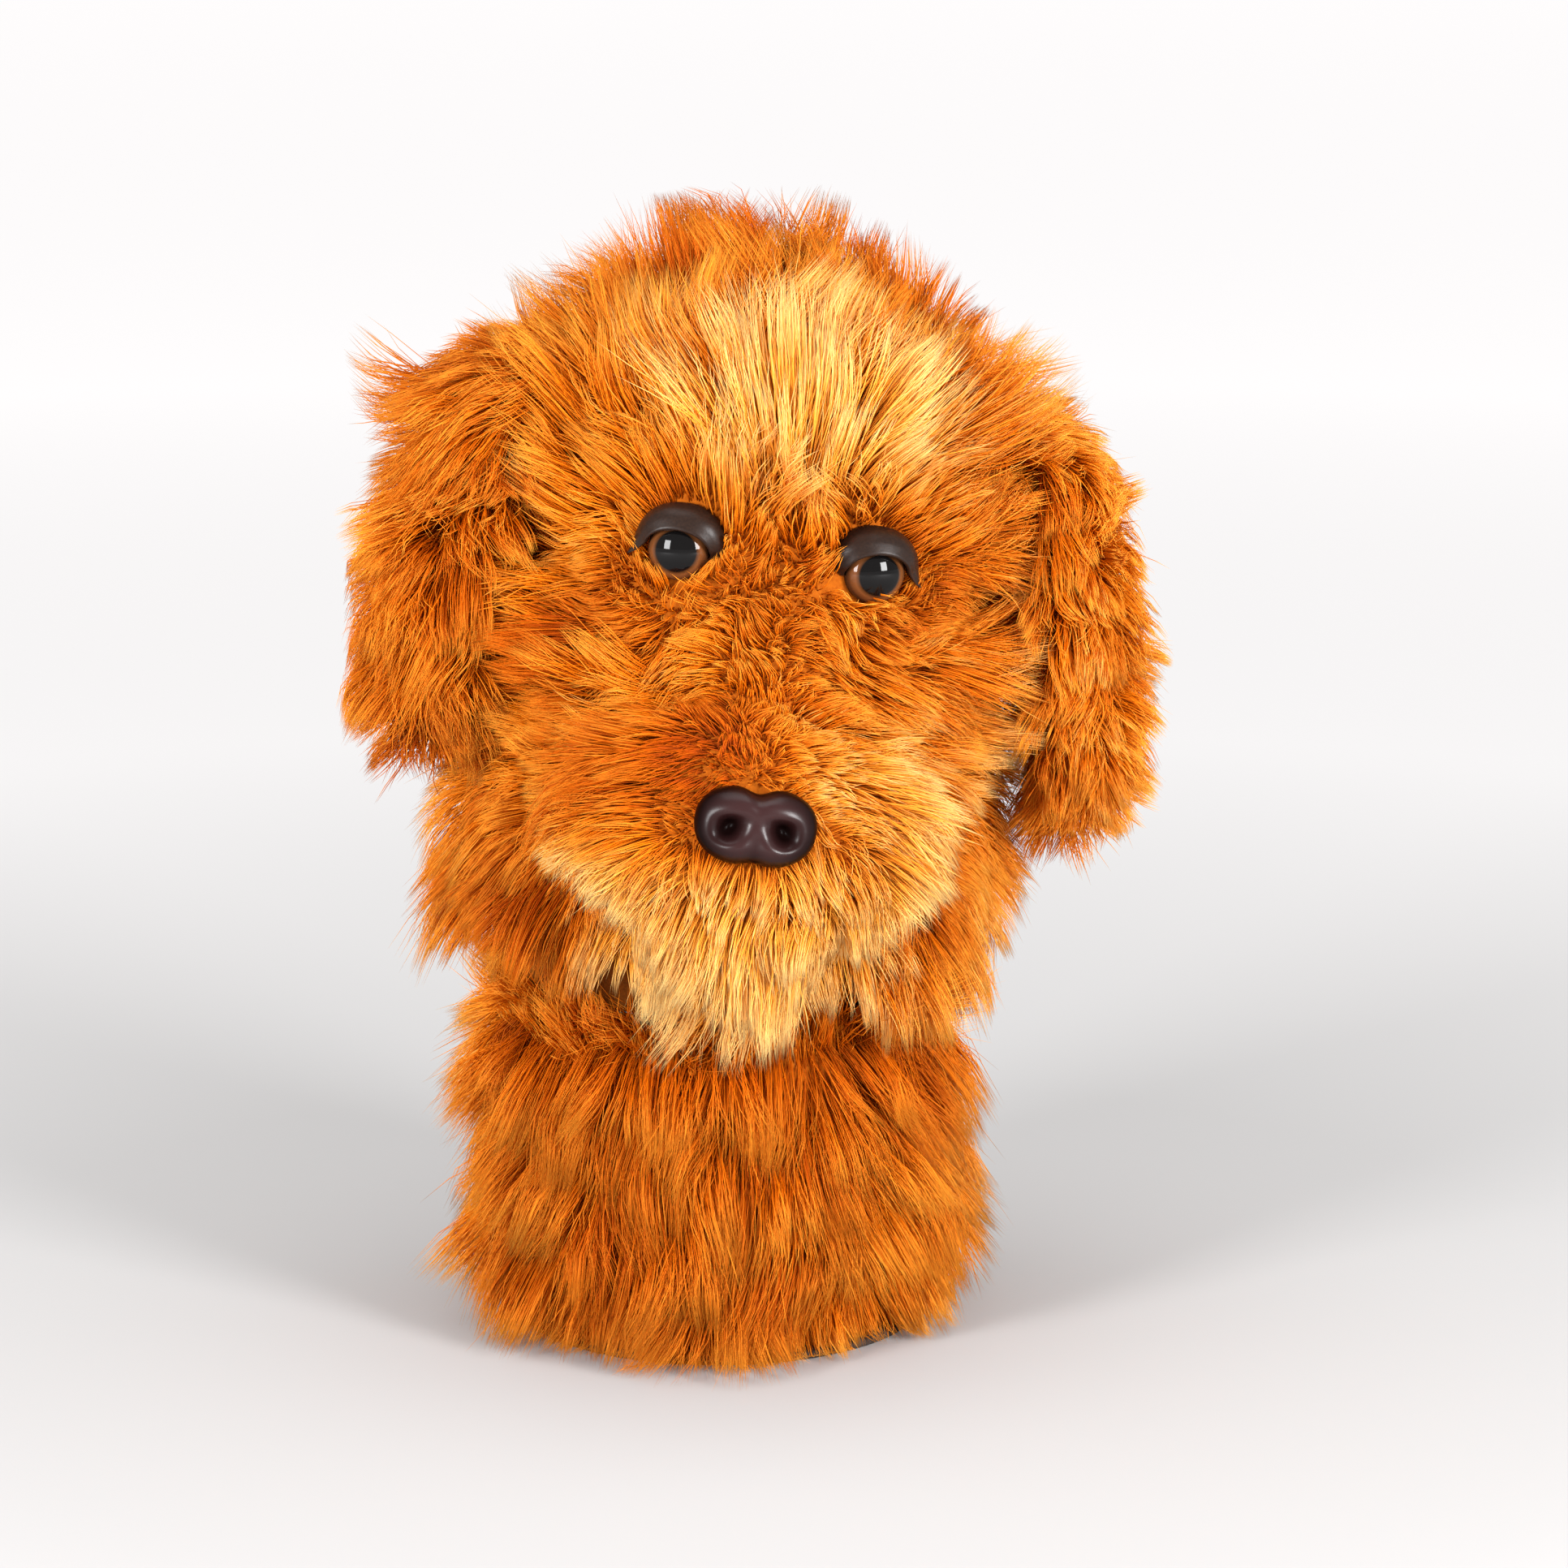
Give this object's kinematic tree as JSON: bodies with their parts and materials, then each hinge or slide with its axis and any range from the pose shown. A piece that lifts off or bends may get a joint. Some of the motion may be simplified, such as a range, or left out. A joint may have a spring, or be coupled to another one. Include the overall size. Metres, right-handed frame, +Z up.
{
  "type": "driver head cover",
  "caption": "Plush dog driver head cover: furry ginger head with button eyes and nose and two flopping ears, tilting on a padded sleeve neck.",
  "frame": {"origin": "on the surface that the hem stands on, under the middle of the whole cover's box", "axes": "+Z up from the hem to the crown, -Y the way the face looks, +X to the right of someone facing the cover"},
  "size_m": [0.2502, 0.2151, 0.3643],
  "materials": {
    "ginger_plush": "matte",
    "short_plush": "matte",
    "gold_plush": "matte",
    "knit": "matte",
    "filling": "matte",
    "elastic": "matte",
    "lid_satin": "satin",
    "eye_gloss": "gloss",
    "nose_gloss": "gloss",
    "washer": "matte"
  },
  "bodies": {
    "neck": {"neck_sleeve": "ginger_plush", "neck_top_band": "knit", "neck_padding": "filling", "neck_elastic": "elastic", "neck_liner": "knit", "hem_binding": "knit"},
    "collar": {"neck_seam_tape": "knit"},
    "head": {"head_crown_gusset": "ginger_plush", "head_back_panel": "ginger_plush", "head_side_left": "ginger_plush", "head_side_right": "ginger_plush", "skull_padding": "filling", "crown_padding": "filling", "head_liner": "knit", "muzzle_bridge": "short_plush", "muzzle_left": "ginger_plush", "muzzle_right": "ginger_plush", "chin_panel": "gold_plush", "muzzle_stuffing": "filling", "nose": "nose_gloss", "nose_washer": "washer", "eye_left": "eye_gloss", "eye_right": "eye_gloss", "eye_washer_left": "washer", "eye_washer_right": "washer", "eyelid_left": "lid_satin", "eyelid_right": "lid_satin"},
    "left_ear": {"ear_outer_left": "ginger_plush", "ear_inner_left": "ginger_plush"},
    "right_ear": {"ear_outer_right": "ginger_plush", "ear_inner_right": "ginger_plush"}
  },
  "joints": [
    {"name": "head_nod", "type": "hinge", "parent": "neck", "child": "collar", "pos_m": [-0.0145, 0.0217, 0.15], "axis": [1, 0, 0], "range_deg": [-10, 10]},
    {"name": "head_tilt", "type": "hinge", "parent": "collar", "child": "head", "pos_m": [-0.0145, 0.0217, 0.15], "axis": [0, 1, 0], "range_deg": [-19.5, 4.5]},
    {"name": "left_ear_flop", "type": "hinge", "parent": "head", "child": "left_ear", "pos_m": [-0.09037, 0.01977, 0.31733], "axis": [-0.0605, 0.9981, 0.008], "range_deg": [0, 70]},
    {"name": "right_ear_flop", "type": "hinge", "parent": "head", "child": "right_ear", "pos_m": [0.10161, 0.03161, 0.29206], "axis": [0.0605, -0.9981, -0.008], "range_deg": [0, 70]}
  ]
}
